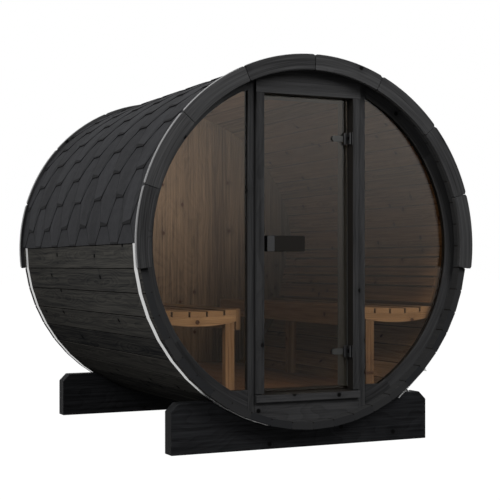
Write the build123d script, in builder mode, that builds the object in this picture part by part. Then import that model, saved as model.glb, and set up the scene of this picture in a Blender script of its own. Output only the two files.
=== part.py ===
from build123d import *
import os
from math import ceil, cos, degrees, pi, radians, sin, tan

# Barrel sauna: black-stained staves pulled together by two steel bands, resting on two cradles.
# X runs across the barrel, Y along it with the glass front towards -Y, and Z is up from the ground.
# The origin is on the ground, under the middle of the barrel. Heights that are called a level are
# measured from the barrel's axis, and all other places are measured from the origin.

# Staves
stave_count = 48
stave_length = 2330
stave_thickness = 42
barrel_radius = 1054
barrel_lift = 111
joint_gap = 0.4
joint_groove_width = 4
joint_groove_depth = 6
bead_radius = 20
bead_inset = 18

# Clearance between pieces that are pushed or screwed together, and round those that swing
seat_gap = 0.3
swing_gap = 6
edge_chamfer = 2

# Flat sides of bolts, pins and their holes
rod_sides = 12

# End walls, let into a groove that runs round the inside of the staves
wall_thickness = 45
wall_setback = 67
croze_depth = 10
croze_end_gap = 2
rear_board_width = 115
rear_board_chamfer = 3

# Side windows of the front wall
window_margin = 60
post_width = 42.5
window_top_level = 860
window_bottom_level = -820
glass_thickness = 8
glass_bite = 12
window_glass_setback = 16

# Door frame and door
door_opening_width = 575
door_top_level = 853
door_sill_level = -843
frame_proud = 21
frame_depth = 155
jamb_width = 51
head_height = 52
sill_height = 49
sill_fall = 8
stop_width = 15
glass_recess = 56
seal_gap = 6
door_side_gap = 9
door_hinge_gap = 8
door_top_gap = 5
door_bottom_gap = 6

# Door hinges
hinge_levels = (621, -622)
tongue_length = 75
tongue_height = 34
tongue_thickness = 6
block_width = 26
block_depth = 14
hinge_bolt_radius = 6
bolt_hole_gap = 1
pin_radius = 3
pin_gap = 0.1
knuckle_radius = 6
knuckle_height = 22
knuckle_gap = 0.5
knuckle_clearance = 1
leaf_thickness = 3
leaf_depth = 27
leaf_height = 74

# Door handle
handle_level = 5
handle_height = 90
bracket_width = 45
bracket_inset = 17
bracket_depth = 40
grip_length = 195
grip_thickness = 20
grip_corner = 5
handle_bolt_radius = 4

# Steel bands
band_width = 48
band_thickness = 1
band_setback = 48
band_ear_height = 48
band_ear_thickness = 3
band_gap_angle = -47.8
band_gap_span = 9
band_bolt_height = 34
band_bolt_radius = 5
band_bolt_tail = 58
band_nut_radius = 9
band_nut_thickness = 8

# Roof trims
trim_overhang = 26
trim_width = 92
trim_thickness = 28
trim_end_angle = 97.5
trim_board_count = 8
trim_gap = 3
trim_corner = 5
trim_notch_width = 13
trim_notch_depth = 7

# Shingle roof
shingle_exposure = 145
shingle_thickness = 5
shingle_lap_rise = 5
ridge_strip_half_width = 125

# Floor
floor_level = -840
floor_board_count = 8
floor_board_width = 118
floor_board_thickness = 28
board_gap = 10
bearer_thickness = 45
bearer_end_distance = 150

# Benches
bench_top_level = -365
bench_front_edge = 392
bench_end_gap = 28
bench_slat_count = 5
bench_slat_width = 96
bench_slat_thickness = 30
bench_dip = 14
fascia_thickness = 26
fascia_height = 120
rib_front_depth = 72
rib_middle_depth = 96
rib_wall_depth = 64
rib_thickness = 45
leg_width = 55
leg_inset = 12

# Backrests
backrest_slat_count = 5
backrest_slat_height = 52
backrest_low_slat_height = 97
backrest_slat_thickness = 18
backrest_bottom_offset = 514
backrest_bottom_level = -352
backrest_lean = 12
backrest_support_height = 330

# Cradles
cradle_half_length = 828
cradle_height = 285
cradle_thickness = 95
cradle_setback = 104
cradle_chamfer = 47

# Values that follow from the sizes above
pitch = 360 / stave_count
half_pitch = radians(pitch / 2)
axis_height = barrel_lift + barrel_radius
half_length = stave_length / 2
outer_apothem = barrel_radius * cos(half_pitch)
inner_apothem = outer_apothem - stave_thickness
trim_radius = barrel_radius + trim_overhang
window_radius = inner_apothem - window_margin
croze_apothem = inner_apothem + croze_depth
wall_apothem = croze_apothem - croze_end_gap
wall_radius = wall_apothem / cos(half_pitch)
front_wall_y = -half_length + wall_setback
room_front_y = front_wall_y + wall_thickness
rear_wall_y = half_length - wall_setback - wall_thickness
frame_half_width = door_opening_width / 2 + jamb_width
window_inner_edge = frame_half_width + post_width
frame_front_y = front_wall_y - frame_proud
glass_front_y = frame_front_y + glass_recess
glass_rear_y = glass_front_y + glass_thickness

os.makedirs("parts", exist_ok=True)


def across(y):
    """Plane square to the barrel's axis, with +Z as its upward direction and its normal to the front."""
    return Plane((0, y, axis_height), x_dir=(1, 0, 0), z_dir=(0, -1, 0))


def write(part, name):
    part.label = name
    export_step(part, f"parts/{name}.step")


def polar(radius, angle):
    return Vector(radius, 0).rotate(Axis.Z, angle)


# Staves with a bead on one edge and a cove on the other, so that they turn against each other
def stave_half_width(radius):
    return radius * tan(half_pitch) - joint_gap / 2 / cos(half_pitch)


bead_level = (outer_apothem + inner_apothem) / 2
bead_centre = Vector(bead_inset - stave_half_width(bead_level), bead_level)
cove_centre = bead_centre.rotate(Axis.Z, -pitch)

with BuildSketch() as stave_section:
    with BuildLine():
        groove_level = outer_apothem - joint_groove_depth
        right_edge = (
            (stave_half_width(outer_apothem) - joint_groove_width, outer_apothem),
            (stave_half_width(groove_level), groove_level),
            (stave_half_width(inner_apothem), inner_apothem),
        )
        Polyline(*right_edge, *[(-x, y) for x, y in reversed(right_edge)], close=True)
    make_face()
    with Locations(bead_centre):
        Circle(bead_radius)
    with Locations(cove_centre):
        Circle(bead_radius + joint_gap, mode=Mode.SUBTRACT)

staves_per_side = stave_count // 4
for name, middle_angle in (("top", 0), ("left", 90), ("bottom", 180), ("right", 270)):
    with BuildPart() as staves:
        with BuildSketch(across(half_length)):
            for step in range(staves_per_side):
                angle = middle_angle + (step - (staves_per_side - 1) / 2) * pitch
                add(stave_section.sketch, rotation=angle)
        extrude(amount=stave_length)
        for groove_y in (front_wall_y, rear_wall_y):
            with BuildSketch(across(groove_y + wall_thickness + seat_gap)):
                RegularPolygon(croze_apothem, stave_count, major_radius=False)
            extrude(amount=wall_thickness + 2 * seat_gap, mode=Mode.SUBTRACT)
    write(staves.part, f"{name}_staves")

# Steel bands, open on the lower right, where a long bolt pulls the two ears together
band_apothem = outer_apothem + seat_gap
bolt_reach = band_apothem + band_bolt_height
ear_angles = (band_gap_angle - band_gap_span / 2, band_gap_angle + band_gap_span / 2)
nut_seat = bolt_reach * tan(radians(band_gap_span / 2)) + band_ear_thickness
band_fronts = {"front": -half_length + band_setback, "rear": half_length - band_setback - band_width}


def bolt_plane(front_y):
    """Plane at the middle of a tension bolt, with its normal up along the bolt."""
    turn = radians(band_gap_angle)
    centre = (bolt_reach * cos(turn), front_y + band_width / 2, axis_height + bolt_reach * sin(turn))
    return Plane(centre, x_dir=(0, 1, 0), z_dir=(-sin(turn), 0, cos(turn)))


for name, front_y in band_fronts.items():
    with BuildPart() as band:
        with BuildSketch(across(front_y + band_width)):
            RegularPolygon(band_apothem + band_thickness, stave_count, major_radius=False)
            with BuildLine():
                ends = [polar(2 * barrel_radius, angle) for angle in ear_angles]
                Polyline((0, 0), ends[0], ends[1], close=True)
            make_face(mode=Mode.SUBTRACT)
            for angle in ear_angles:
                with PolarLocations(band_apothem + band_ear_height / 2, 1, start_angle=angle):
                    Rectangle(band_ear_height, band_ear_thickness)
            RegularPolygon(band_apothem, stave_count, major_radius=False, mode=Mode.SUBTRACT)
        extrude(amount=band_width)
        with BuildSketch(bolt_plane(front_y)):
            RegularPolygon(band_bolt_radius + seat_gap, rod_sides, major_radius=False)
        extrude(amount=2 * nut_seat, both=True, mode=Mode.SUBTRACT)
    write(band.part, f"{name}_band")

bolt_length = 2 * nut_seat + band_nut_thickness + band_bolt_tail
with BuildPart() as bolts:
    for front_y in band_fronts.values():
        with BuildSketch(bolt_plane(front_y).offset(nut_seat)):
            RegularPolygon(band_bolt_radius, rod_sides)
        extrude(amount=-bolt_length)
        for side in (-1, 1):
            with BuildSketch(bolt_plane(front_y).offset(side * nut_seat)):
                RegularPolygon(band_nut_radius, 6)
            extrude(amount=side * band_nut_thickness)
write(bolts.part, "band_bolts")

# Roof trims: arched boards that cover the ends of the staves and of the shingles
trim_board_angle = 2 * trim_end_angle / trim_board_count


def trim_board(middle_angle):
    """Face of one trim board, with its outer corners cut back and its inner corners taken off."""
    half_turn = trim_board_angle / 2 - degrees(trim_gap / 2 / trim_radius)
    start = 90 + middle_angle - half_turn
    end = 90 + middle_angle + half_turn
    inner = trim_radius - trim_width
    notch_turn = degrees(trim_notch_width / trim_radius)
    corner_turn = degrees(trim_corner / inner)
    with BuildSketch() as board:
        with BuildLine():
            outer_arc = CenterArc((0, 0), trim_radius, start + notch_turn, 2 * (half_turn - notch_turn))
            inner_arc = CenterArc((0, 0), inner, start + corner_turn, 2 * (half_turn - corner_turn))
            for place, angle in ((0, start), (1, end)):
                Polyline(
                    outer_arc @ place,
                    polar(trim_radius - trim_notch_depth, angle),
                    polar(inner + trim_corner, angle),
                    inner_arc @ place,
                )
        make_face()
    return board.sketch


for name, back_y in (("front", -half_length - seat_gap), ("rear", half_length + seat_gap + trim_thickness)):
    with BuildPart() as trim:
        with BuildSketch(across(back_y)):
            for board in range(trim_board_count):
                add(trim_board((board + 0.5) * trim_board_angle - trim_end_angle))
        extrude(amount=trim_thickness)
    write(trim.part, f"{name}_roof_trim")

# Shingle roof: lapped courses from the eaves, which are level with the axis, up to the ridge strip
shingle_bed = (band_apothem + band_thickness) / cos(half_pitch) + seat_gap
shingle_courses = ceil((pi / 2 * shingle_bed - ridge_strip_half_width) / shingle_exposure)
course_angle = degrees(shingle_exposure / shingle_bed)
ridge_angle = degrees(ridge_strip_half_width / shingle_bed)
course_top = shingle_bed + shingle_thickness
course_butt = course_top + shingle_lap_rise


with BuildSketch() as left_courses:
    with BuildLine():
        rise = []
        for course in range(shingle_courses):
            rise.append(polar(course_butt, 180 - course * course_angle))
            rise.append(polar(course_top, 180 - (course + 1) * course_angle))
        last_angle = 180 - shingle_courses * course_angle
        Polyline(*rise)
        Line(rise[0], polar(shingle_bed, 180))
        Line(rise[-1], polar(shingle_bed, last_angle))
        CenterArc((0, 0), shingle_bed, last_angle, 180 - last_angle)
    make_face()

for name, flip in (("left", False), ("right", True)):
    with BuildPart() as shingles:
        with BuildSketch(across(half_length)):
            add(left_courses.sketch)
            if flip:
                mirror(about=Plane.YZ)
                add(left_courses.sketch, mode=Mode.SUBTRACT)
        extrude(amount=stave_length)
    write(shingles.part, f"{name}_roof_shingles")

with BuildPart() as ridge:
    with BuildSketch(across(half_length)):
        with BuildLine():
            strip_bed = course_butt + seat_gap
            low = CenterArc((0, 0), strip_bed, 90 - ridge_angle, 2 * ridge_angle)
            high = CenterArc((0, 0), strip_bed + shingle_thickness, 90 - ridge_angle, 2 * ridge_angle)
            Line(low @ 0, high @ 0)
            Line(low @ 1, high @ 1)
        make_face()
    extrude(amount=stave_length)
write(ridge.part, "ridge_shingles")


# Front wall: two curved window frames, two posts, and a panel above and below the door
def window_outline(side, grow):
    """Window opening on one side, enlarged all round by grow, in the current sketch."""
    width = window_radius - window_inner_edge + 2 * grow
    height = window_top_level - window_bottom_level + 2 * grow
    middle = (window_top_level + window_bottom_level) / 2
    with BuildSketch() as outline:
        Circle(window_radius + grow)
        with Locations((side * (window_inner_edge - grow + width / 2), middle)):
            Rectangle(width, height, mode=Mode.INTERSECT)
    return outline.sketch


def wall_piece(x_from, x_to, level_from, level_to):
    """Part of the round wall between two places across and two levels, in the current sketch."""
    RegularPolygon(wall_apothem, stave_count, major_radius=False)
    with Locations(((x_from + x_to) / 2, (level_from + level_to) / 2)):
        Rectangle(x_to - x_from, level_to - level_from, mode=Mode.INTERSECT)


post_inner_edge = frame_half_width + seat_gap
glass_back_y = front_wall_y + window_glass_setback + glass_thickness
window_cuts = (
    (0, room_front_y, wall_thickness),
    (glass_bite + seat_gap, glass_back_y + seat_gap, glass_thickness + 2 * seat_gap),
)
head_top_level = door_top_level + head_height
sill_bottom_level = door_sill_level - sill_height
for name, side in (("left", -1), ("right", 1)):
    window_edges = sorted((side * (window_inner_edge + seat_gap), side * wall_radius))
    with BuildPart() as window_frame:
        with BuildSketch(across(room_front_y)):
            wall_piece(*window_edges, -wall_radius, wall_radius)
        extrude(amount=wall_thickness)
        for grow, back_y, depth in window_cuts:
            with BuildSketch(across(back_y)):
                add(window_outline(side, grow))
            extrude(amount=depth, mode=Mode.SUBTRACT)
    write(window_frame.part, f"{name}_window_frame")

    post_edges = sorted((side * post_inner_edge, side * window_inner_edge))
    with BuildPart() as post:
        with BuildSketch(across(room_front_y)):
            wall_piece(*post_edges, -wall_radius, wall_radius)
        extrude(amount=wall_thickness)
        for grow, back_y, depth in window_cuts:
            with BuildSketch(across(back_y)):
                add(window_outline(side, grow))
            extrude(amount=depth, mode=Mode.SUBTRACT)
    write(post.part, f"{name}_wall_post")

    with BuildPart() as window_glass:
        with BuildSketch(across(glass_back_y)):
            add(window_outline(side, glass_bite))
        extrude(amount=glass_thickness)
    write(window_glass.part, f"{name}_window_glass")

for name, level_from, level_to in (
    ("wall_panel_above_door", head_top_level + seat_gap, wall_radius),
    ("wall_panel_below_door", -wall_radius, sill_bottom_level - seat_gap),
):
    with BuildPart() as panel:
        with BuildSketch(across(room_front_y)):
            wall_piece(-frame_half_width, frame_half_width, level_from, level_to)
        extrude(amount=wall_thickness)
    write(panel.part, name)

# Door frame: four rebated members, so that the glass closes against a stop on each side
rebate_depth = glass_recess + glass_thickness + seal_gap
half_opening = door_opening_width / 2
jamb_top = axis_height + door_top_level - seat_gap
jamb_bottom = axis_height + door_sill_level + seat_gap
for name, side in (("left", -1), ("right", 1)):
    with BuildPart() as jamb:
        with BuildSketch(Plane.XY.offset(jamb_bottom)):
            with Locations((side * (half_opening + jamb_width / 2), frame_front_y + frame_depth / 2)):
                Rectangle(jamb_width, frame_depth)
            stop_depth = frame_depth - rebate_depth
            stop_x = side * (half_opening - stop_width / 2)
            with Locations((stop_x, frame_front_y + rebate_depth + stop_depth / 2)):
                Rectangle(stop_width, stop_depth)
        extrude(amount=jamb_top - jamb_bottom)
        front_edges = jamb.edges().filter_by(Axis.Z).group_by(Axis.Y)[0]
        chamfer(front_edges, length=edge_chamfer)
    write(jamb.part, f"door_{name}_jamb")

frame_plane = Plane((-frame_half_width, frame_front_y, axis_height), x_dir=(0, 1, 0), z_dir=(1, 0, 0))
with BuildPart() as head:
    with BuildSketch(frame_plane):
        with BuildLine():
            Polyline(
                (0, door_top_level),
                (rebate_depth, door_top_level),
                (rebate_depth, door_top_level - stop_width),
                (frame_depth, door_top_level - stop_width),
                (frame_depth, head_top_level),
                (0, head_top_level),
                close=True,
            )
        make_face()
    extrude(amount=2 * frame_half_width)
    with BuildSketch(Plane.XY.offset(axis_height)):
        for side in (-1, 1):
            stop_end = half_opening - stop_width - seat_gap
            length = frame_half_width - stop_end
            with Locations((side * (stop_end + length / 2), frame_front_y + frame_depth / 2)):
                Rectangle(length, frame_depth)
    extrude(amount=door_top_level, mode=Mode.SUBTRACT)
    with BuildSketch(across(front_wall_y - seat_gap)):
        RegularPolygon(inner_apothem - seat_gap, stave_count, major_radius=False)
        with Locations((0, door_top_level + barrel_radius / 2)):
            Rectangle(2 * frame_half_width, barrel_radius, mode=Mode.INTERSECT)
    extrude(amount=frame_proud - seat_gap)
write(head.part, "door_head")

with BuildPart() as sill:
    with BuildSketch(frame_plane):
        with BuildLine():
            Polyline(
                (0, door_sill_level - sill_fall),
                (rebate_depth, door_sill_level),
                (rebate_depth, door_sill_level + stop_width),
                (frame_depth, door_sill_level + stop_width),
                (frame_depth, sill_bottom_level),
                (0, sill_bottom_level),
                close=True,
            )
        make_face()
    extrude(amount=2 * frame_half_width)
    with BuildSketch(Plane.XY.offset(axis_height + door_sill_level)):
        for side in (-1, 1):
            stop_end = half_opening - stop_width - seat_gap
            length = frame_half_width - stop_end
            with Locations((side * (stop_end + length / 2), frame_front_y + frame_depth / 2)):
                Rectangle(length, frame_depth)
    extrude(amount=stop_width + seat_gap, mode=Mode.SUBTRACT)
write(sill.part, "door_sill")

# Door hinges: a block that clasps a tongue bolted through the glass turns on the pin of a leaf on the jamb
glass_left = -half_opening + door_side_gap
glass_right = half_opening - door_hinge_gap
leaf_face_x = half_opening - seat_gap - leaf_thickness
pin_x = leaf_face_x - knuckle_clearance - knuckle_radius
pin_y = frame_front_y + edge_chamfer + leaf_depth / 2
block_left = pin_x - block_width
tongue_left = block_left - tongue_length
tongue_bolt_x = (tongue_left + block_left) / 2
stop_edge = half_opening - stop_width - swing_gap
knuckle_step = knuckle_height + knuckle_gap
block_height = knuckle_height + 2 * knuckle_step
block_back_y = glass_front_y - seat_gap


def tongue_outline(right_end):
    """Tongue seen from the front, round at the end that points into the glass."""
    nose_x = tongue_left + tongue_height / 2
    with BuildSketch() as outline:
        with Locations((nose_x, 0)):
            Circle(tongue_height / 2)
        with Locations(((nose_x + right_end) / 2, 0)):
            Rectangle(right_end - nose_x, tongue_height)
    return outline.sketch


with BuildPart() as clamps:
    for level in hinge_levels:
        rear_plate_y = glass_rear_y + seat_gap + tongue_thickness
        for plate_back_y, right_end in ((block_back_y, pin_x), (rear_plate_y, stop_edge)):
            with BuildSketch(across(plate_back_y)):
                with Locations((0, level)):
                    add(tongue_outline(right_end))
            extrude(amount=tongue_thickness)
        with BuildSketch(across(glass_rear_y + seat_gap)):
            with Locations((tongue_bolt_x, level)):
                RegularPolygon(hinge_bolt_radius, rod_sides)
        extrude(amount=glass_thickness + 2 * seat_gap)
write(clamps.part, "door_hinge_clamps")

with BuildPart() as blocks:
    for level in hinge_levels:
        centre_z = axis_height + level
        with Locations(((block_left + pin_x) / 2, block_back_y - block_depth / 2, centre_z)):
            Box(block_width, block_depth, block_height)
        arm_depth = block_back_y - pin_y
        for side in (-1, 1):
            with BuildSketch(Plane.XY.offset(centre_z + side * knuckle_step - knuckle_height / 2)):
                with Locations((pin_x, pin_y)):
                    RegularPolygon(knuckle_radius, rod_sides)
                with Locations((pin_x - knuckle_radius / 2, pin_y + arm_depth / 2)):
                    Rectangle(knuckle_radius, arm_depth)
                with Locations((pin_x, pin_y)):
                    RegularPolygon(pin_radius + pin_gap, rod_sides, major_radius=False, mode=Mode.SUBTRACT)
            extrude(amount=knuckle_height)
        slot_depth = tongue_thickness + seat_gap
        with Locations((block_left, block_back_y - slot_depth / 2, centre_z)):
            Box(3 * block_width, slot_depth, tongue_height + 2 * seat_gap, mode=Mode.SUBTRACT)
write(blocks.part, "door_hinge_blocks")

with BuildPart() as leaves:
    for level in hinge_levels:
        centre_z = axis_height + level
        with Locations((leaf_face_x + leaf_thickness / 2, pin_y, centre_z)):
            Box(leaf_thickness, leaf_depth, leaf_height)
        with BuildSketch(Plane.XY.offset(centre_z)):
            with Locations((pin_x, pin_y)):
                RegularPolygon(knuckle_radius, rod_sides)
            with Locations(((pin_x + leaf_face_x) / 2, pin_y)):
                Rectangle(leaf_face_x - pin_x, knuckle_radius)
        extrude(amount=knuckle_height / 2, both=True)
        with BuildSketch(Plane.XY.offset(centre_z)):
            with Locations((pin_x, pin_y)):
                RegularPolygon(pin_radius, rod_sides)
        extrude(amount=block_height / 2, both=True)
write(leaves.part, "door_hinge_leaves")

# Door glass with the holes for the hinge and handle bolts
glass_bottom_level = door_sill_level + door_bottom_gap
glass_top_level = door_top_level - door_top_gap
bracket_left = glass_left + bracket_inset
bracket_x = bracket_left + bracket_width / 2
with BuildPart() as door_glass:
    with BuildSketch(across(glass_rear_y)):
        middle = ((glass_left + glass_right) / 2, (glass_bottom_level + glass_top_level) / 2)
        with Locations(middle):
            Rectangle(glass_right - glass_left, glass_top_level - glass_bottom_level)
        for level in hinge_levels:
            with Locations((tongue_bolt_x, level)):
                RegularPolygon(hinge_bolt_radius + bolt_hole_gap, rod_sides, mode=Mode.SUBTRACT)
        with Locations((bracket_x, handle_level)):
            RegularPolygon(handle_bolt_radius + bolt_hole_gap, rod_sides, mode=Mode.SUBTRACT)
    extrude(amount=glass_thickness)
write(door_glass.part, "door_glass")

# Door handle: a black block bolted through the glass carries a board on each side
with BuildPart() as bracket:
    for block_y in (glass_front_y - seat_gap, glass_rear_y + seat_gap + bracket_depth):
        with BuildSketch(across(block_y)):
            with Locations((bracket_x, handle_level)):
                Rectangle(bracket_width, handle_height)
        extrude(amount=bracket_depth)
    chamfer(bracket.edges().filter_by(Axis.Y), length=edge_chamfer)
    with BuildSketch(across(glass_rear_y + seat_gap)):
        with Locations((bracket_x, handle_level)):
            RegularPolygon(handle_bolt_radius, rod_sides)
    extrude(amount=glass_thickness + 2 * seat_gap)
write(bracket.part, "door_handle_bracket")

grip_left = bracket_left + bracket_width + seat_gap
with BuildPart() as grips:
    front_grip_y = glass_front_y - seat_gap - bracket_depth + grip_thickness
    rear_grip_y = glass_rear_y + seat_gap + bracket_depth
    for grip_back_y in (front_grip_y, rear_grip_y):
        with BuildSketch(across(grip_back_y)):
            with Locations((grip_left + grip_length / 2, handle_level)):
                Rectangle(grip_length, handle_height)
        extrude(amount=grip_thickness)
    chamfer(grips.edges().filter_by(Axis.Y), length=grip_corner)
write(grips.part, "door_handle_grips")

# Rear wall: upright boards in the rear groove, chamfered where they meet
with BuildPart() as rear_wall:
    board_total = int(2 * wall_radius / rear_board_width) + 1
    with BuildSketch(across(rear_wall_y + wall_thickness)):
        RegularPolygon(wall_apothem, stave_count, major_radius=False)
        with GridLocations(rear_board_width, 0, board_total - 1, 1):
            Rectangle(joint_gap, 2 * wall_radius, mode=Mode.SUBTRACT)
    extrude(amount=wall_thickness)
    with Locations((0, rear_wall_y + wall_thickness, axis_height)):
        with GridLocations(rear_board_width, 0, board_total - 1, 1):
            Box(
                rear_board_chamfer,
                rear_board_chamfer,
                2 * wall_radius,
                rotation=(0, 0, 45),
                mode=Mode.SUBTRACT,
            )
write(rear_wall.part, "rear_wall_boards")

# Floor boards on shaped bearers: the outermost ones run up to the wall, the others up to the door frame.
# Their outer corners are cut to the round of the staves where they would reach it.
floor_step = floor_board_width + board_gap
bearer_radius = inner_apothem - seat_gap
room_length = rear_wall_y - room_front_y
room_middle_y = (rear_wall_y + room_front_y) / 2
floor_rear_y = rear_wall_y - seat_gap
with BuildPart() as floor_boards:
    board_z = axis_height + floor_level - floor_board_thickness / 2
    for index in range(floor_board_count):
        board_x = (index - (floor_board_count - 1) / 2) * floor_step
        floor_front_y = frame_front_y + frame_depth + seat_gap
        if abs(board_x) - floor_board_width / 2 > frame_half_width:
            floor_front_y = room_front_y + seat_gap
        with Locations((board_x, (floor_front_y + floor_rear_y) / 2, board_z)):
            Box(floor_board_width, floor_rear_y - floor_front_y, floor_board_thickness)
    with BuildSketch(across(floor_rear_y)):
        Circle(bearer_radius)
    extrude(amount=room_length, mode=Mode.INTERSECT)
write(floor_boards.part, "floor_boards")

bearer_top = floor_level - floor_board_thickness - seat_gap
bearer_reach = room_length / 2 - bearer_end_distance
with BuildPart() as bearers:
    for place in (-1, 0, 1):
        with BuildSketch(across(room_middle_y + place * bearer_reach + bearer_thickness / 2)):
            Circle(bearer_radius)
            with Locations((0, bearer_top + bearer_radius)):
                Rectangle(2 * bearer_radius, 2 * bearer_radius, mode=Mode.SUBTRACT)
        extrude(amount=bearer_thickness)
write(bearers.part, "floor_bearers")

# Benches and backrests, the same on both sides
bench_length = room_length - 2 * bench_end_gap
support_reach = (bench_length - rib_thickness) / 2
support_places = [room_middle_y + place * support_reach for place in (-1, 0, 1)]
fascia_back = bench_front_edge + fascia_thickness
slat_step = bench_slat_width + board_gap
bench_back_edge = bench_front_edge + bench_slat_count * slat_step - board_gap
bench_middle = (bench_front_edge + bench_back_edge) / 2
slat_spans = [(fascia_back + seat_gap, bench_front_edge + bench_slat_width)]
for index in range(1, bench_slat_count):
    slat_start = bench_front_edge + index * slat_step
    slat_spans.append((slat_start, slat_start + bench_slat_width))


def slat_top(span):
    """Level of the top of a slat, lower towards the middle of the seat."""
    place = (sum(span) / 2 - bench_middle) / (bench_back_edge - bench_middle)
    return bench_top_level - bench_dip * (1 - place**2)


with BuildPart() as bench_slats:
    for span in slat_spans:
        slat_z = axis_height + slat_top(span) - bench_slat_thickness / 2
        with Locations((sum(span) / 2, room_middle_y, slat_z)):
            Box(span[1] - span[0], bench_length, bench_slat_thickness)

with BuildPart() as fascia:
    with Locations((bench_front_edge, room_middle_y, axis_height + bench_top_level)):
        Box(fascia_thickness, bench_length, fascia_height, align=(Align.MIN, Align.CENTER, Align.MAX))

rib_radius = inner_apothem - seat_gap
rib_seats = []
for span in slat_spans:
    seat = slat_top(span) - bench_slat_thickness - seat_gap
    rib_seats += [(span[0], seat), (span[1], seat)]
rib_foot = (fascia_back + seat_gap, bench_top_level - rib_front_depth)
rib_tail = (bench_back_edge, bench_top_level - rib_wall_depth)
with BuildSketch() as rib_section:
    with BuildLine():
        Polyline(*rib_seats, (rib_radius, rib_seats[-1][1]), (rib_radius, rib_tail[1]), rib_tail)
        ThreePointArc(rib_tail, (bench_middle, bench_top_level - rib_middle_depth), rib_foot)
        Line(rib_foot, rib_seats[0])
    make_face()
    Circle(rib_radius, mode=Mode.INTERSECT)

with BuildPart() as bench_ribs:
    for place in support_places:
        with BuildSketch(across(place + rib_thickness / 2)):
            add(rib_section.sketch)
        extrude(amount=rib_thickness)

leg_height = rib_foot[1] - floor_level - seat_gap
with BuildPart() as bench_legs:
    for place in support_places:
        with BuildSketch(across(place + rib_thickness / 2)):
            with Locations((rib_foot[0] + leg_inset, floor_level + seat_gap)):
                Rectangle(leg_width, leg_height, align=(Align.MIN, Align.MIN))
            add(rib_section.sketch.moved(Location((0, -seat_gap))), mode=Mode.SUBTRACT)
        extrude(amount=rib_thickness)

lean_foot = (bench_front_edge + backrest_bottom_offset, 0, axis_height + backrest_bottom_level)
lean_direction = Vector(0, 0, 1).rotate(Axis.Y, backrest_lean)
lean_normal = Vector(-1, 0, 0).rotate(Axis.Y, backrest_lean)
with BuildPart() as backrest_slats:
    with BuildSketch(Plane(lean_foot, x_dir=lean_direction, z_dir=lean_normal)):
        slat_foot = 0
        for index in range(backrest_slat_count):
            slat_height = backrest_slat_height if index else backrest_low_slat_height
            with Locations((slat_foot + slat_height / 2, room_middle_y)):
                Rectangle(slat_height, bench_length)
            slat_foot += slat_height + board_gap
    extrude(amount=backrest_slat_thickness)

with BuildPart() as backrest_supports:
    for place in support_places:
        with BuildSketch(across(place + rib_thickness / 2)):
            Circle(rib_radius)
            with BuildLine():
                foot = (lean_foot[0] + seat_gap, backrest_bottom_level)
                support_top = backrest_bottom_level + backrest_support_height
                run = backrest_support_height * tan(radians(backrest_lean))
                Polyline(
                    foot,
                    (foot[0] + run, support_top),
                    (barrel_radius, support_top),
                    (barrel_radius, backrest_bottom_level),
                    close=True,
                )
            make_face(mode=Mode.INTERSECT)
        extrude(amount=rib_thickness)

for piece, name in (
    (bench_slats, "bench_slats"),
    (bench_ribs, "bench_ribs"),
    (fascia, "bench_fascia"),
    (bench_legs, "bench_legs"),
    (backrest_slats, "backrest_slats"),
    (backrest_supports, "backrest_supports"),
):
    write(piece.part, f"right_{name}")
    write(mirror(piece.part, about=Plane.YZ), f"left_{name}")

# Cradles, cut to the round of the barrel
for name, back_y in (
    ("front", -half_length + cradle_setback + cradle_thickness),
    ("rear", half_length - cradle_setback),
):
    with BuildPart() as cradle:
        with BuildSketch(across(back_y)):
            with Locations((0, -axis_height + cradle_height / 2)):
                Rectangle(2 * cradle_half_length, cradle_height)
            chamfer(vertices().group_by(Axis.Y)[-1], length=cradle_chamfer)
            Circle(barrel_radius + seat_gap, mode=Mode.SUBTRACT)
        extrude(amount=cradle_thickness)
    write(cradle.part, f"{name}_cradle")
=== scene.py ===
# %% [markdown]
# # A barrel sauna: the finishes
# The construction comes ready made: each stave, board, pane and hinge is a mesh at its real size, in
# metres, with +Z up, the glazed front towards -Y, and the ground at height 0. This lesson gives the
# pieces their finishes, lays the shingles that the construction only blocks in, and sets up the light and
# the camera.

import math
import random

import bmesh
import bpy
from mathutils import Matrix, Vector


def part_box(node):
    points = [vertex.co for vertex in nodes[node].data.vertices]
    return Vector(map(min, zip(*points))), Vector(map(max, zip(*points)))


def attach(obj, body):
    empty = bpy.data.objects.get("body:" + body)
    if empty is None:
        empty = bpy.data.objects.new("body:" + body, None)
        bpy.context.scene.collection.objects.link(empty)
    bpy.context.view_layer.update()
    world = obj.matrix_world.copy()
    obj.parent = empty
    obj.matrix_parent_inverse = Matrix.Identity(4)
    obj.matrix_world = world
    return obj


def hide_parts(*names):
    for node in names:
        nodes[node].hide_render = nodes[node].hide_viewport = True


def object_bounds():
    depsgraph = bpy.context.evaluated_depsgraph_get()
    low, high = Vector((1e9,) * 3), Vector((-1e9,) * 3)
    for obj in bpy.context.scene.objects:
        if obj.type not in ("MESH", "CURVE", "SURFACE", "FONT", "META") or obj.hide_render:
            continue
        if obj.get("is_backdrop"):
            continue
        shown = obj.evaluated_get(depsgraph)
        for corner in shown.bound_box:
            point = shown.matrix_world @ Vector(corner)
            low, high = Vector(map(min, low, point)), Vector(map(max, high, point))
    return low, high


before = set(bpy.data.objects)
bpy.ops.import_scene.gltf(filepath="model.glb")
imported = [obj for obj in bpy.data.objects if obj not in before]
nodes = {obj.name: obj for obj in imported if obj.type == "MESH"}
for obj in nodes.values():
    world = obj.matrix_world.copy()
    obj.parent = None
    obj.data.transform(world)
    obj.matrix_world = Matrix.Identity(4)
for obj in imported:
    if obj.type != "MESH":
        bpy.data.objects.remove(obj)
cad_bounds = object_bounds()
print(len(nodes), "pieces, box", [[round(v, 3) for v in corner] for corner in cad_bounds])

# %% [markdown]
# ## Sizes that the finishes share
# Grain has to follow each board, so the shaders need to know where one board ends and the next begins.
# The sizes are read from the pieces themselves. Then a finish still fits if the construction changes.

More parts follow.
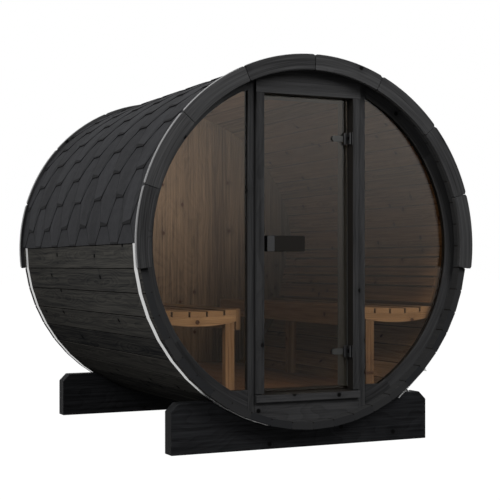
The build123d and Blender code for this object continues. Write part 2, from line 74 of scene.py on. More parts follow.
# %% Measure the barrel
band_low, band_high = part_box("front_band")
stave_low, stave_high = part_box("left_staves")
axis_z = (band_low[2] + band_high[2]) / 2
band_radius = (band_high[0] - band_low[0]) / 2
front_y = stave_low[1]
rear_y = stave_high[1]
room_front_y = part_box("left_window_frame")[1][1]
room_rear_y, wall_rear_y = (corner[1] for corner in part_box("rear_wall_boards"))
stave_count = 48
trim_boards = 8
stave_pitch = math.tau / stave_count
stave_thickness = 0.042
board_step = 0.115
stave_inner = band_radius - stave_thickness
stave_width = band_radius * stave_pitch
frame_front_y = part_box("door_left_jamb")[0][1]
pane_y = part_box("door_glass")[1][1]
opening_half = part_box("door_hinge_leaves")[1][0]
opening_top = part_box("door_left_jamb")[1][2]
opening_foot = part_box("door_sill")[1][2]
back_low, back_high = (corner[2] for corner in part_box("right_backrest_slats"))
print(f"axis at {axis_z:.3f}, radius {band_radius:.3f}, staves {stave_width * 1000:.0f} mm wide")

# %% [markdown]
# ## Shader maths that reads like arithmetic
# A node tree is a sum written as boxes and wires. Here a small class wraps one output socket, so that
# `1 - mask` or `length / 0.4` adds the Math node by itself. Colours and vectors don't go through Math
# nodes, because those would turn them grey, so they have a mix and a vector helper of their own.

# %% Wrap a socket
class Signal:
    """One output of a shader node, which can be used in arithmetic."""

    def __init__(self, tree, socket=None):
        self.tree = tree
        self.socket = socket

    def node(self, kind, settings=None, sockets=None, output=0):
        """Adds any node: first its settings, then values or links for its sockets."""
        made = self.tree.nodes.new("ShaderNode" + kind)
        for name, value in (settings or {}).items():
            setattr(made, name, value)
        for name, value in (sockets or {}).items():
            if isinstance(value, Signal):
                self.tree.links.new(value.socket, made.inputs[name])
            else:
                made.inputs[name].default_value = value
        return Signal(self.tree, made.outputs[output])

    def math(self, operation, *values):
        return self.node("Math", {"operation": operation}, dict(enumerate(values)))

    def __add__(self, other):
        return self.math("ADD", self, other)

    def __sub__(self, other):
        return self.math("SUBTRACT", self, other)

    def __rsub__(self, other):
        return self.math("SUBTRACT", other, self)

    def __mul__(self, other):
        return self.math("MULTIPLY", self, other)

    def __truediv__(self, other):
        return self.math("DIVIDE", self, other)

    def __pow__(self, other):
        return self.math("POWER", self, other)

    def __gt__(self, other):
        return self.math("GREATER_THAN", self, other)

    def __lt__(self, other):
        return self.math("LESS_THAN", self, other)

    def __abs__(self):
        return self.math("ABSOLUTE", self)

    __radd__ = __add__
    __rmul__ = __mul__

    def whole(self):
        return self.math("FLOOR", self)

    def fraction(self):
        return self.math("FRACT", self)

    def fade(self, start, end, low=0.0, high=1.0):
        """Runs smoothly from low at start to high at end."""
        sockets = {"Value": self, "From Min": start, "From Max": end, "To Min": low, "To Max": high}
        return self.node("MapRange", {"interpolation_type": "SMOOTHSTEP"}, sockets)

    def mix(self, at_zero, at_one):
        """Mixes two colours, with this signal as the factor."""
        return self.node("Mix", {"data_type": "RGBA"}, {0: self, 6: at_zero, 7: at_one}, output=2)

    def limited(self):
        """Keeps the signal between 0 and 1."""
        return self.math("MAXIMUM", self.math("MINIMUM", self, 1.0), 0.0)

    def either(self, other):
        """1 where this mask or another one is 1."""
        return self.math("MAXIMUM", self, other)


# %% Start a material
def rgb(red, green, blue):
    return (red, green, blue, 1.0)


def new_material(name):
    """A material with a Principled shader, and a signal that adds nodes to its tree."""
    material = bpy.data.materials.new(name)
    material.use_nodes = True
    tree = material.node_tree
    shader = tree.nodes["Principled BSDF"]
    return material, Signal(tree), shader


def feed(shader, **sockets):
    """Sets or links the shader's sockets; a name is written with _ for a space."""
    for name, value in sockets.items():
        socket = shader.inputs[name.replace("_", " ")]
        if isinstance(value, Signal):
            value.tree.links.new(value.socket, socket)
        else:
            socket.default_value = value


def vector(start, x, y, z):
    return start.node("CombineXYZ", None, {"X": x, "Y": y, "Z": z})


def noise(start, where, scale, detail=2.0, roughness=0.5):
    """Smooth noise round 0, from about -0.5 to 0.5."""
    sockets = {"Vector": where, "Scale": scale, "Detail": detail, "Roughness": roughness}
    return start.node("TexNoise", None, sockets) - 0.5


def place(start):
    """The three coordinates of the point that is shaded, in metres in the sauna's frame."""
    coordinates = start.node("TexCoord", None, None, output="Object")
    return [start.node("SeparateXYZ", None, {"Vector": coordinates}, output=n) for n in range(3)]


print("shader helpers ready")

# %% [markdown]
# ## How each board is laid out
# A plank has its fibres along its length, growth rings across it, and knots that are its own. So each
# layout below turns a point into five values: how far along the board it is, how far across, how deep,
# which board it is on, and a mask of the faces that show no long grain, such as sawn ends. Staves and
# trims follow the round of the barrel, so theirs come from the angle about its axis. Boards at the other
# end or on the other side get numbers of their own.

# %% Layouts of the boards
other_end = 20
other_side = 40


def faces_along(start, axis):
    """1 on faces that look along an axis, which on a board are its sawn ends."""
    normal = start.node("TexCoord", None, None, output="Normal")
    return abs(start.node("SeparateXYZ", None, {"Vector": normal}, output=axis)) > 0.8


def round_axis(start):
    """Angle from the top of the barrel, clockwise from the front, and distance from its axis."""
    x, y, z = place(start)
    rise = z - axis_z
    angle = start.math("ARCTAN2", x, rise)
    radius = start.math("SQRT", x * x + rise * rise)
    return angle, radius, y


def along_barrel(start):
    """Staves: they run from end to end, side by side round the barrel."""
    angle, radius, y = round_axis(start)
    turn = angle / stave_pitch
    # The inner faces in the recess before the front wall count 0.85 in the last mask, so they come out
    # plainer and darker, as the sawn ends do.
    recess = (radius < stave_inner + 0.003) * (abs(y) > -room_front_y)
    plain = (recess * 0.85).either(faces_along(start, 1))
    return y, (turn.fraction() - 0.5) * stave_width, radius - stave_inner, turn.whole(), plain


def round_barrel(board_angle, first_angle):
    """Curved boards that follow one another round the barrel's end."""

    def layout(start):
        angle, radius, y = round_axis(start)
        turn = (angle - first_angle) / board_angle
        board = turn.whole() + start.math("SIGN", y) * other_end
        return angle * band_radius, radius, y, board, 0.0

    return layout


def straight(along, across, step=1.0, first=0.0, number=0, sides=True):
    """Straight boards along one axis (0, 1 or 2), laid side by side along another."""
    depth = 3 - along - across

    def layout(start):
        point = place(start)
        board = ((point[across] - first) / step).whole() + number
        if sides:
            board = board + start.math("SIGN", point[0]) * other_side
        return point[along], point[across], point[depth], board, faces_along(start, along)

    return layout


print("layouts ready")

# %% [markdown]
# ## Wood
# The whole sauna is softwood. Outside it has a thin black stain, through which the figure and the knots
# still show. Inside it is bare, heat-treated and brown. One function makes the figure for both: growth
# rings are the distance from a wandering heart line, fibres and streaks are noise stretched along the
# board, and each knot pushes the rings apart round itself. A board's number shifts them all, so no two
# boards look alike.

# %% Figure of a plank
ring_width = 0.0075
knot_spacing = (0.42, 0.13)
knot_radius = 0.013
knot_share = 0.45
heart_swing = 0.09
heart_depth = 0.045


def find_knots(start, along, across, board):
    """The knots of a board, and the swell of the wood round them."""
    x = along / knot_spacing[0] + board * 5.37
    y = across / knot_spacing[1] + board * 1.91
    cells = vector(start, x, y, 0.0)
    settings = {"voronoi_dimensions": "2D"}
    sockets = {"Vector": cells, "Scale": 1.0, "Randomness": 0.85}
    centre = start.node("TexVoronoi", settings, sockets, output="Position")
    chance = start.node("TexWhiteNoise", {"noise_dimensions": "3D"}, {"Vector": centre}, output="Value")
    offset = start.node("VectorMath", {"operation": "SUBTRACT"}, {0: cells, 1: centre})
    spread = (knot_spacing[0], knot_spacing[1], 0.0)
    offset = start.node("VectorMath", {"operation": "MULTIPLY"}, {0: offset, 1: spread})
    distance = start.node("VectorMath", {"operation": "LENGTH"}, {0: offset}, output="Value")
    present = chance > 1.0 - knot_share
    knot = distance.fade(knot_radius * 1.25, knot_radius * 0.75) * present
    swell = distance.fade(knot_radius * 5.0, knot_radius * 0.8) * present
    return knot, swell


def figure(start, layout):
    """Late wood of the rings, fibres, streaks, knots, the board's own shade and its ends."""
    along, across, depth, board, ends = layout(start)
    shade = start.node("TexWhiteNoise", {"noise_dimensions": "1D"}, {"W": board + 0.5}, output="Value")
    knot, swell = find_knots(start, along, across, board)
    wander = noise(start, vector(start, along * 0.9, across * 2.0, board * 3.7), 1.6, 2.0)
    width = across - (shade - 0.5) * heart_swing + wander * 0.03
    reach = depth + heart_depth + wander * 0.13
    rings = start.math("SQRT", width * width + reach * reach) / ring_width + swell * 3.0
    late = rings.fraction() ** 2.0
    thin = vector(start, along * 3.0, across * 150.0, depth * 150.0 + board * 9.1)
    fibres = noise(start, thin, 1.0, 3.0, 0.6) + 0.5
    grain = vector(start, along * 1.8, across * 55.0 + depth * 41.0, board * 2.3)
    streaks = noise(start, grain, 1.0, 3.0, 0.6) + 0.5
    return late, fibres, streaks - swell * 0.12, knot, shade, ends


def build_wood(name, layout, colours, inside=None, bare=None, doorway=None, joints=None,
               gleam=None):
    """A wood finish. Masks can add to it: bare wood where inside is 1, painted shade and painted light in
    the doorway, dark seams with painted shade, and a clear coating with a painted highlight."""
    material, start, shader = new_material(name)
    late, fibres, streaks, knot, shade, ends = figure(start, layout)
    marks = (streaks - 0.5) * colours["streak"] + (fibres - 0.5) * 1.1 - late * 0.25
    side = 1.0 - ends
    tone = 0.5 + (marks + (shade - 0.5) * 0.4) * side - ends * (colours["end"] + shade * 0.1)
    tone = tone.limited()
    knot = knot * side
    colour = knot.mix(tone.mix(colours["dark"], colours["light"]), colours["knot"])
    rough = 0.52 + (fibres - 0.5) * 0.25
    if inside:
        mask = inside(start)
        colour = mask.mix(colour, knot.mix(tone.mix(bare["dark"], bare["light"]), bare["knot"]))
        rough = rough + mask * 0.12
    # Dark joints, and painted shade on the slat sides and on the staves behind a backrest.
    if joints:
        colour = (joints(start) * 0.85).mix(colour, joint_and_shade_colour)
    # Painted highlight: the rim is lightened as well as given a clear coating.
    if gleam:
        coat_and_gleam = gleam(start)
        colour = coat_and_gleam.mix(colour, painted_gleam_colour)
        feed(shader, Coat_Weight=coat_and_gleam, Coat_Roughness=0.25)
    # Painted shade and painted light in the doorway.
    if doorway:
        shade_strip, rebate_light = doorway(start)
        colour = shade_strip.mix(rebate_light.mix(colour, rebate_light_colour), doorway_shade_colour)
    height = fibres * 0.5 - late * 0.35 - knot * 0.3
    bump = start.node("Bump", None, {"Strength": 0.4, "Distance": 0.0012, "Height": height})
    feed(shader, Base_Color=colour, Roughness=rough, Normal=bump)
    feed(shader, Specular_IOR_Level=colours["gloss"])
    return material


# %% Colours of the wood
# Near black: the dark joints, and also painted shade behind the backrests and on the sides of the slats.
joint_and_shade_colour = rgb(0.004, 0.003, 0.002)
# Painted highlight: a lighter grey for the gleam on the trims' outer rim.
painted_gleam_colour = rgb(0.1, 0.1, 0.102)
# Painted light: a lighter bluish grey on the rebated faces of the doorway, which the lamps leave in
# shade.
rebate_light_colour = rgb(0.1, 0.12, 0.14)
# Painted shade: the dark strip at the doorway's front edges, its foot and under its head.
doorway_shade_colour = rgb(0.011, 0.01, 0.009)
stain = {"dark": rgb(0.003, 0.0031, 0.0034), "light": rgb(0.029, 0.03, 0.0315),
         "knot": rgb(0.001, 0.001, 0.001), "streak": 1.8, "end": 0.2, "gloss": 0.02}
stave_stain = dict(stain, dark=rgb(0.018, 0.0185, 0.02), light=rgb(0.088, 0.084, 0.075),
                   knot=rgb(0.006, 0.006, 0.006), streak=1.0, end=0.4, gloss=0.0)
trim_stain = dict(stain, dark=rgb(0.013, 0.013, 0.0135), light=rgb(0.053, 0.053, 0.054),
                  streak=1.3)
frame_stain = dict(trim_stain, light=rgb(0.043, 0.043, 0.044), streak=1.3)
cradle_stain = dict(stain, light=rgb(0.017, 0.0175, 0.019))
brown = {"dark": rgb(0.15, 0.09, 0.05), "light": rgb(0.5, 0.345, 0.21),
         "knot": rgb(0.07, 0.03, 0.015), "streak": 1.5, "end": 0.0, "gloss": 0.3}
bench = dict(brown, dark=rgb(0.26, 0.165, 0.09), light=rgb(0.66, 0.47, 0.29))
# Painted shade: darker browns for the floor and for the inner face of the rear wall than for the other
# bare wood.
floor_shade_brown = dict(brown, dark=rgb(0.09, 0.045, 0.024), light=rgb(0.3, 0.17, 0.09))
rear_wall_shade_brown = dict(brown, dark=rgb(0.085, 0.055, 0.034), light=rgb(0.27, 0.195, 0.127),
              streak=1.2)
print("ring width", ring_width, "knots about", knot_spacing)

# %% [markdown]
# ## Stain outside, bare wood inside
# The staves and the end walls are stained only where the weather gets at them. A mask in the shader tells
# the two sides apart: on a stave it is 1 between the end walls and near the inner face, and on an end
# wall it is 1 on the faces behind its outer one, towards the room. More masks mark places with other
# colours: the joints are dark, the sides of the slats and the staves behind the backrests get painted
# shade, the doorway gets a dark strip of painted shade at its edges and a grey of painted light in its
# rebates, and the rim of the trims gets a painted highlight.

# %% Masks on the boards
skin = 0.006
joint_half = 0.003
# Depth of the painted shade under the head of the doorway.
head_shade_depth = 0.009


def stave_inside(start):
    angle, radius, y = round_axis(start)
    return (radius < stave_inner + skin) * (abs(y) < room_rear_y)


def stave_joints_and_shade(start):
    """The seams between the staves, as their inner and outer faces show them, and painted shade on the
    strip of staves behind a backrest, which shows through its gaps."""
    angle, radius, y = round_axis(start)
    across = abs((angle / stave_pitch).fraction() - 0.5) * stave_width
    faces = abs(radius - (stave_inner + stave_thickness / 2)) > stave_thickness / 2 - skin
    z = place(start)[2]
    # Painted shade: the staves behind a backrest are mixed towards near black.
    behind = (z > back_low) * (z < back_high) * stave_inside(start)
    return behind.either((across > stave_width / 2 - joint_half) * faces)


def slat_gap_shade(axis):
    """Painted shade on the narrow faces of slats, which stands for the shade in the gaps between them."""
    return lambda start: faces_along(start, axis) * 0.8


def outer_rim(start):
    """The curved outer face of the trims, which gets a clear coating and a painted highlight, a lighter
    colour for its gleam at a slant.
    """
    return round_axis(start)[1] > trim_high[0] - 0.003


def doorway_faces(start):
    """The faces that look into the doorway: a dark strip of painted shade before the pane, at its foot
    and under the head, and a lighter bluish grey of painted light on the others.
    """
    x, y, z = place(start)
    beside = (abs(x) < opening_half + 0.001) * (z < opening_top + 0.001) * (y > frame_front_y + 0.001)
    dark = (y < pane_y).either(z < opening_foot + 0.001).either(z > opening_top - head_shade_depth)
    shade_strip = beside * dark
    return shade_strip, beside * (1.0 - shade_strip)


def front_wall_inside(start):
    return place(start)[1] > room_front_y - 0.002


def rear_wall_inside(start):
    return place(start)[1] < room_rear_y + 0.002


trim_low, trim_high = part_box("front_roof_trim")
trim_reach = math.pi / 2 + math.asin((axis_z - trim_low[2]) / trim_high[0])
trim_angle = 2 * trim_reach / trim_boards
print(f"{trim_boards} boards in a trim, {math.degrees(trim_angle):.1f} degrees each")

# %% Wood on the construction
def paint(material, *names):
    """Puts a material on pieces of the construction."""
    for name in names:
        for slot in nodes[name].material_slots:
            slot.material = material
    print(material.name, "on", ", ".join(names))


barrel_wood = build_wood("stained_staves", along_barrel, stave_stain, stave_inside, brown,
                         joints=stave_joints_and_shade)
paint(barrel_wood, "top_staves", "left_staves", "right_staves", "bottom_staves")
trim_wood = build_wood("stained_trim", round_barrel(trim_angle, -trim_reach), trim_stain,
                       gleam=outer_rim)
paint(trim_wood, "front_roof_trim", "rear_roof_trim")
wall_arc = build_wood("stained_window_frames", round_barrel(math.pi / 4, 0.2), frame_stain,
                      front_wall_inside, brown)
paint(wall_arc, "left_window_frame", "right_window_frame")
upright = build_wood("stained_uprights", straight(2, 0), frame_stain, front_wall_inside, brown)
paint(upright, "left_wall_post", "right_wall_post")
panels = build_wood("stained_panels", straight(0, 2, sides=False), frame_stain,
                    front_wall_inside, brown)
paint(panels, "wall_panel_below_door", "wall_panel_above_door")
jambs = build_wood("stained_jambs", straight(2, 0, number=3), frame_stain,
                   doorway=doorway_faces)
paint(jambs, "door_left_jamb", "door_right_jamb")
level = build_wood("stained_crosspieces", straight(0, 2, sides=False), frame_stain,
                   doorway=doorway_faces)
paint(level, "door_head", "door_sill", "door_handle_grips")
beams = build_wood("stained_cradles", straight(0, 2, number=7, sides=False), cradle_stain)
paint(beams, "front_cradle", "rear_cradle")
# Inside, the rear wall gets a darker brown, which is painted shade.
rear_boards = build_wood("stained_rear_boards", straight(2, 0, step=board_step, sides=False), stain,
                         rear_wall_inside, rear_wall_shade_brown)
paint(rear_boards, "rear_wall_boards")

# %% [markdown]
# Wall boards have tongues in their joints, which the construction leaves out. Without them a thread of
# daylight shows through the rear wall, so a thin strip goes into each joint.

# %% Tongues of the rear wall
tongue_width = 0.0003
tongue_depth = 0.01
tongue_count = 17
wall_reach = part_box("rear_wall_boards")[1][0] * math.cos(stave_pitch / 2) - 0.001


def add_object(name, mesh):
    """Turns a bmesh into an object of the scene."""
    data = bpy.data.meshes.new(name)
    mesh.to_mesh(data)
    mesh.free()
    piece = bpy.data.objects.new(name, data)
    bpy.context.scene.collection.objects.link(piece)
    return piece


def fill_joints(name):
    """Stands a strip in each joint of the rear wall, in the middle of its thickness."""
    mesh = bmesh.new()
    middle_y = (room_rear_y + wall_rear_y) / 2
    for number in range(tongue_count):
        x = (number - tongue_count // 2) * board_step
        height = 2 * math.sqrt(wall_reach ** 2 - x * x)
        where = Matrix.Translation((x, middle_y, axis_z))
        scale = Matrix.Diagonal((tongue_width, tongue_depth, height, 1.0))
        bmesh.ops.create_cube(mesh, size=1.0, matrix=where @ scale)
    return add_object(name, mesh)


tongues = fill_joints("rear_wall_tongues")
tongues.data.materials.append(panels)
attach(tongues, "sauna")
print(tongue_count, "tongues in the rear wall")

# %% Bare wood of the room
# The bench and backrest slats get painted shade on their narrow faces, for the gaps between them.
slats = build_wood("bare_slats", straight(1, 0, step=0.106, first=0.392), bench,
                   joints=slat_gap_shade(0))
paint(slats, "left_bench_slats", "right_bench_slats")
# The floor's darker brown is painted shade.
floor_wood = build_wood("bare_floor", straight(1, 0, step=0.128, sides=False), floor_shade_brown)
paint(floor_wood, "floor_boards")
backs = build_wood("bare_backrests", straight(1, 2, step=0.061), brown, joints=slat_gap_shade(2))
paint(backs, "left_backrest_slats", "right_backrest_slats")
fascias = build_wood("bare_fascias", straight(1, 2, number=8), bench)
paint(fascias, "left_bench_fascia", "right_bench_fascia")
ribs = build_wood("bare_ribs", straight(0, 2, number=5), bench)
paint(ribs, "left_bench_ribs", "right_bench_ribs")
bearer_wood = build_wood("bare_bearers", straight(0, 2, number=6, sides=False), brown)
paint(bearer_wood, "floor_bearers")
legs = build_wood("bare_legs", straight(2, 1, number=9), brown)
paint(legs, "left_bench_legs", "right_bench_legs", "left_backrest_supports", "right_backrest_supports")

# %% [markdown]
# Planed boards have their edges taken off, and each catches a thin line of light. A bevel on the pieces
# that are seen from close by does that without changing their size.

# %% Soften the edges
def soften(width, *names):
    for name in names:
        weld = nodes[name].modifiers.new("weld", "WELD")
        weld.merge_threshold = 0.0001
        bevel = nodes[name].modifiers.new("edge", "BEVEL")
        bevel.width = width
        bevel.segments = 2
        bevel.limit_method = "ANGLE"
        bevel.angle_limit = math.radians(40)
    print(f"{width * 1000:.1f} mm edges on", len(names), "pieces")


soften(0.003, "front_roof_trim", "rear_roof_trim", "front_cradle", "rear_cradle", "door_head",
       "door_sill", "door_handle_grips", "left_wall_post", "right_wall_post")
soften(0.003, "left_bench_slats", "right_bench_slats", "left_bench_fascia", "right_bench_fascia",
       "left_backrest_slats", "right_backrest_slats", "floor_boards")
soften(0.002, "left_window_frame", "right_window_frame", "left_bench_ribs", "right_bench_ribs",
       "left_bench_legs", "right_bench_legs", "wall_panel_below_door", "wall_panel_above_door")

# %% [markdown]
# ## Metal and glass
# The bands are bright rolled strip, their bolts dull zinc, the hinges' tongues brushed, and the rest of
# the ironwork has a black satin lacquer. The panes are tinted bronze. Real thick glass would bend every
# lamp's light and leave the room dark or grainy, so the pane passes light straight through, tinted, and
# mirrors a share of what is in front of it, more at a slant. The Fresnel node gives that share. It is
# turned down near the ground, a painted reflection that stands for dark ground at the foot of a pane and
# bright sky at its top, not for what surrounds the pane in this scene.

# %% Metals
def build_metal(name, colour, metallic, base_rough, brush=0.0):
    material, start, shader = new_material(name)
    x, y, z = place(start)
    fine = noise(start, vector(start, x * 40.0, y * 400.0, z * 40.0), 1.0, 3.0)
    smudge = noise(start, vector(start, x, y, z), 14.0, 2.0)
    rough = base_rough + fine * brush + smudge * 0.12
    tint = (0.5 + smudge * 1.2).mix(rgb(*(c * 0.86 for c in colour)), rgb(*colour))
    feed(shader, Base_Color=tint, Roughness=rough, Metallic=metallic, Specular_IOR_Level=0.3)
    return material


strip = build_metal("bright_strip", (0.58, 0.58, 0.575), 1.0, 0.4, 0.2)
paint(strip, "front_band", "rear_band")
zinc = build_metal("dull_zinc", (0.2, 0.2, 0.2), 1.0, 0.45, 0.2)
paint(zinc, "band_bolts")
tongue = build_metal("brushed_tongues", (0.035, 0.035, 0.034), 1.0, 0.4, 0.3)
paint(tongue, "door_hinge_clamps")
lacquer = build_metal("black_lacquer", (0.005, 0.005, 0.0055), 0.0, 0.45, 0.1)
paint(lacquer, "door_hinge_leaves", "door_hinge_blocks", "door_handle_bracket")


# %% Bronze glass
gloss_foot = 0.6
gloss_top = 2.1
gloss_least = 0.2


def build_glass(name, tint, gloss, ior):
    material, start, shader = new_material(name)
    tree = start.tree
    height = place(start)[2]
    tree.nodes.remove(shader)
    clear = start.node("BsdfTransparent", None, {"Color": tint})
    mirror = start.node("BsdfGlossy", None, {"Color": gloss, "Roughness": 0.01})
    share = start.node("Fresnel", None, {"IOR": ior})
    # Painted reflection: the mirrored share falls from the top of the pane towards its foot.
    share = share * height.fade(gloss_foot, gloss_top, gloss_least, 1.0)
    mixed = start.node("MixShader", None, {0: share, 1: clear, 2: mirror})
    tree.links.new(mixed.socket, tree.nodes["Material Output"].inputs["Surface"])
    return material


bronze = build_glass("bronze_glass", rgb(0.82, 0.765, 0.7), rgb(0.85, 0.85, 0.84), 1.5)
paint(bronze, "left_window_glass", "right_window_glass", "door_glass")

# %% [markdown]
# ## The shingle roof
# Bitumen shingles come as strips with hexagonal tabs, here six to the length of the roof. Each course is
# nailed over the one below and shifted by half a tab, so only the tabs show. A bump map couldn't give the
# stepped edges that catch the light along a curved roof, so each course is a real sheet: a grid of points
# whose lower edge follows the tabs, bent round the barrel and given a thickness.

# %% Lay the courses
tab_count = 6
tab_pitch = (rear_y - front_y) / tab_count
tab_flat = 0.120
course_count = 11
exposure = 0.157
first_height = -0.05
shingle_thickness = 0.004
butt_width = 0.026
slant_butt_width = 0.4 * butt_width
roof_build_up = 0.0098
bed_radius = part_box("right_roof_shingles")[1][0] - roof_build_up
ridge_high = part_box("ridge_shingles")[1]
roof_reach = bed_radius * (math.pi / 2 - 0.03)
dice = random.Random(7)


def tab_edge(place_along, offset):
    """How far the lower edge is cut up at a place along a course: 0 on a tab, 1 in a notch."""
    phase = ((place_along - offset) / tab_pitch) % 1.0
    flat = tab_flat / tab_pitch
    slant = 0.5 - flat
    distance = abs(phase - 0.5) * 2
    return min(1.0, max(0.0, (distance - flat) / (2 * slant)))


def tab_places(offset):
    """Places along a course where its lower edge turns, and the roof's two ends."""
    half_flat = tab_flat / tab_pitch / 2
    turns = set()
    for tab in range(-2 * tab_count, 2 * tab_count):
        for corner in (0.5 - half_flat, 0.5 + half_flat, 1.0 - half_flat, 1.0 + half_flat):
            spot = offset + (tab + corner) * tab_pitch
            if front_y < spot < rear_y:
                turns.add(round(spot, 5))
    turns |= {front_y, rear_y}
    return sorted(turns)


def roof_point(side, along, height, radius):
    """Point on the roof: height is the distance up the slope from the eaves."""
    angle = height / bed_radius
    return (side * radius * math.cos(angle), along, axis_z + radius * math.sin(angle))


def add_strip(mesh, first, second, side, values):
    """Joins two columns of points with faces that carry a tone and an edge value each."""
    tone, edge = mesh.faces.layers.float["tone"], mesh.faces.layers.float["edge"]
    for row, (shade, dark) in enumerate(values):
        corners = (first[row], second[row], second[row + 1], first[row + 1])
        face = mesh.faces.new(corners if side > 0 else corners[::-1])
        face[tone] = shade
        face[edge] = dark


def lay_course(mesh, side, course):
    """Adds one course of tabs to a mesh. Its lower edge is dark, a painted shadow for the shade along the
    butts.
    """
    offset = front_y + ((course + 1) % 2) * tab_pitch / 2
    foot = first_height + course * exposure
    places = tab_places(offset)
    rows = (0.25, 0.5, 0.75, 1.0)
    top = min(2 * exposure, roof_reach - foot)
    grid = []
    for along in places:
        cut = max(tab_edge(along, offset) * exposure, -foot)
        column = []
        butt = butt_width if cut <= 0 else slant_butt_width
        for up in [cut, cut + butt] + [cut + (top - cut) * row for row in rows]:
            radius = bed_radius + 2 * shingle_thickness * (1 - up / (2 * exposure))
            column.append(mesh.verts.new(roof_point(side, along, foot + up, radius)))
        grid.append(column)
    for first, second in zip(grid, grid[1:]):
        shade = dice.random()
        # The first row of faces is marked as the dark lower edge, a painted shadow.
        add_strip(mesh, first, second, side, [(shade, 1.0)] + [(shade, 0.0)] * len(rows))


def lay_starter(mesh, side):
    """Adds the plain strip that lies under the first course and shows between its tabs."""
    ends = []
    for along in (front_y, rear_y):
        points = [roof_point(side, along, up, bed_radius + shingle_thickness * (1 - up / exposure))
                  for up in (0.0, exposure / 2, exposure)]
        ends.append([mesh.verts.new(point) for point in points])
    add_strip(mesh, ends[0], ends[1], side, [(0.3, 0.0), (0.3, 0.0)])


def finish_mesh(name, mesh, thickness):
    """Turns a bmesh into an object of the roof, with a thickness below its faces."""
    piece = add_object(name, mesh)
    solid = piece.modifiers.new("thickness", "SOLIDIFY")
    solid.thickness = thickness
    solid.offset = -1.0
    return piece


def start_mesh():
    mesh = bmesh.new()
    mesh.faces.layers.float.new("tone")
    mesh.faces.layers.float.new("edge")
    return mesh


def lay_side(name, side):
    mesh = start_mesh()
    for course in range(course_count):
        lay_course(mesh, side, course)
    lay_starter(mesh, side)
    return finish_mesh(name, mesh, shingle_thickness)


# %% [markdown]
# Over the ridge, where the two sides meet, the last row is capped by shingles laid across it. Each one
# lies over the end of the one in front of it.

# %% Cap the ridge
cap_exposure = 0.145
cap_overlap = 1.6
cap_fall = 0.0036
cap_thickness = 0.0014
cap_clearance = 0.0002
cap_columns = 9


def lay_ridge(name):
    mesh = start_mesh()
    half = ridge_high[0]
    radius = ridge_high[2] - axis_z
    for cap in range(math.ceil((rear_y - front_y) / cap_exposure)):
        start_y = front_y + cap * cap_exposure
        end_y = min(start_y + cap_overlap * cap_exposure, rear_y)
        shade = dice.random()
        rows = [(start_y, 0.0), (min(start_y + butt_width, end_y), 0.0002), (end_y, cap_fall)]
        grid = []
        for step in range(cap_columns):
            angle = math.asin(half / radius) * (2 * step / (cap_columns - 1) - 1)
            column = []
            for along, fall in rows:
                height = radius - cap_clearance - fall
                point = (height * math.sin(angle), along, axis_z + height * math.cos(angle))
                column.append(mesh.verts.new(point))
            grid.append(column)
        for first, second in zip(grid, grid[1:]):
            # The first row of faces is the cap's dark lower edge, a painted shadow.
            add_strip(mesh, first, second, 1, [(shade, 1.0), (shade, 0.0)])
    return finish_mesh(name, mesh, cap_thickness)


left_roof = lay_side("left_shingles", -1)
right_roof = lay_side("right_shingles", 1)
ridge_caps = lay_ridge("ridge_caps")
for piece, node in ((left_roof, "left_roof_shingles"), (right_roof, "right_roof_shingles"),
                    (ridge_caps, "ridge_shingles")):
    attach(piece, "sauna")
    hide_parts(node)
    print(piece.name, len(piece.data.polygons), "faces")

# %% [markdown]
# The shingles are faced with crushed slate. At arm's length that is a salt-and-pepper grit, and from
# further away it is only a faint mottling, so the shader mixes both, with one shade for each tab.

# %% Slate grit
def build_grit(name):
    material, start, shader = new_material(name)
    x, y, z = place(start)
    point = vector(start, x, y, z)
    tone = start.node("Attribute", {"attribute_name": "tone"}, None, output="Fac")
    grit = noise(start, point, 420.0, 1.0)
    mottle = noise(start, point, 18.0, 4.0, 0.7)
    edge = start.node("Attribute", {"attribute_name": "edge"}, None, output="Fac")
    shade = 0.5 + grit * 0.8 + mottle * 0.8 + (tone - 0.5) * 0.4
    colour = shade.mix(rgb(0.01, 0.0102, 0.0112), rgb(0.038, 0.0385, 0.042))
    # Painted shadow: the faces marked edge are darkened for the shade along the butts.
    colour = (edge * 0.9).mix(colour, rgb(0.002, 0.002, 0.0025))
    bump = start.node("Bump", None, {"Strength": 0.5, "Distance": 0.001, "Height": grit + mottle * 0.5})
    feed(shader, Base_Color=colour, Roughness=0.9 + grit * 0.1, Normal=bump, Specular_IOR_Level=0.12)
    return material


shingle_grit = build_grit("slate_grit")
for piece in (left_roof, right_roof, ridge_caps):
    piece.data.materials.append(shingle_grit)
    print("slate grit on", piece.name)

# %% [markdown]
# ## The studio
# The sauna stands on a plain floor that runs off into a white background. The floor is white to the
# camera and in reflections, and keeps the soft shadow under the barrel.

# %% Floor and world
scene = bpy.context.scene
scene.view_settings.view_transform = "Standard"
floor_half = 60.0
white_share = 0.78
white_strength = 1.29
floor_data = bpy.data.meshes.new("floor")
corners = [(x * floor_half, y * floor_half, 0.0) for x, y in ((-1, -1), (1, -1), (1, 1), (-1, 1))]
floor_data.from_pydata(corners, [], [(0, 1, 2, 3)])
floor = bpy.data.objects.new("floor", floor_data)
scene.collection.objects.link(floor)
floor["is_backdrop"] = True


def seen_directly(start):
    """1 for rays that show the backdrop: from the camera, or by way of gloss or glass."""
    rays = [start.node("LightPath", None, None, output=f"Is {kind} Ray")
            for kind in ("Camera", "Glossy", "Transmission")]
    return rays[0].math("MINIMUM", rays[0] + rays[1] + rays[2], 1.0)


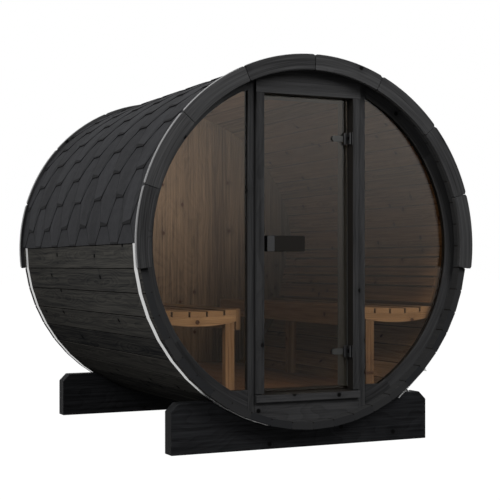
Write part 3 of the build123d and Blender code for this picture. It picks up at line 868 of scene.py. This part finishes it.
def build_floor(name):
    material, start, shader = new_material(name)
    feed(shader, Base_Color=rgb(0.15, 0.15, 0.15), Roughness=1.0, Specular_IOR_Level=0.0)
    tree = start.tree
    white = start.node("Emission", None, {"Color": rgb(1.0, 1.0, 1.0), "Strength": white_strength})
    plain = Signal(tree, shader.outputs[0])
    share = seen_directly(start) * white_share
    mixed = start.node("MixShader", None, {0: share, 1: plain, 2: white})
    tree.links.new(mixed.socket, tree.nodes["Material Output"].inputs["Surface"])
    return material


floor_data.materials.append(build_floor("studio_floor"))


def build_world(strength):
    world = bpy.data.worlds.new("studio")
    world.use_nodes = True
    tree = world.node_tree
    start = Signal(tree)
    level = seen_directly(start) * (1.0 - strength) + strength
    background = tree.nodes["Background"]
    background.inputs["Color"].default_value = rgb(1.0, 1.0, 1.0)
    tree.links.new(level.socket, background.inputs["Strength"])
    scene.world = world


build_world(0.22)
print("floor and world ready")


# %% Lamps
def add_lamp(name, where, target, size, power, spread=math.pi):
    """A square soft lamp that points at a target."""
    lamp = bpy.data.lights.new(name, "AREA")
    lamp.shape = "SQUARE"
    lamp.size = size
    lamp.energy = power
    lamp.spread = spread
    holder = bpy.data.objects.new(name, lamp)
    holder.location = where
    direction = Vector(target) - Vector(where)
    holder.rotation_euler = direction.to_track_quat("-Z", "Y").to_euler()
    scene.collection.objects.link(holder)
    print(name, "lamp of", power, "W")


middle = (0.0, 0.0, 1.1)
add_lamp("key", (2.6, -6.6, 5.6), middle, 3.6, 520.0)
add_lamp("side", (-6.0, -3.0, 4.6), middle, 3.0, 340.0)
add_lamp("room", (0.0, -0.95, 1.85), (-0.3, 1.06, 1.6), 0.3, 4.0, math.radians(65))

# %% [markdown]
# ## The camera
# The camera stands a little lower than the barrel's axis and looks level with the ground. A small shift
# frames the barrel, as a photographer does with a rise on the lens.

# %% Camera
camera_data = bpy.data.cameras.new("camera")
camera = bpy.data.objects.new("camera", camera_data)
camera.location = (-3.312, -7.279, 1.042)
camera.rotation_euler = (math.pi / 2, 0.0, -math.radians(25.47))
camera_data.sensor_width = 36.0
camera_data.lens = 87.83
camera_data.shift_y = 0.032
scene.collection.objects.link(camera)
scene.camera = camera
print("camera at", tuple(round(v, 3) for v in camera.location))

# %% Gather the sizes and finish
sizes = {"cad": cad_bounds, "visual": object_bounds()}
sizes = {name: [list(map(float, corner)) for corner in box] for name, box in sizes.items()}
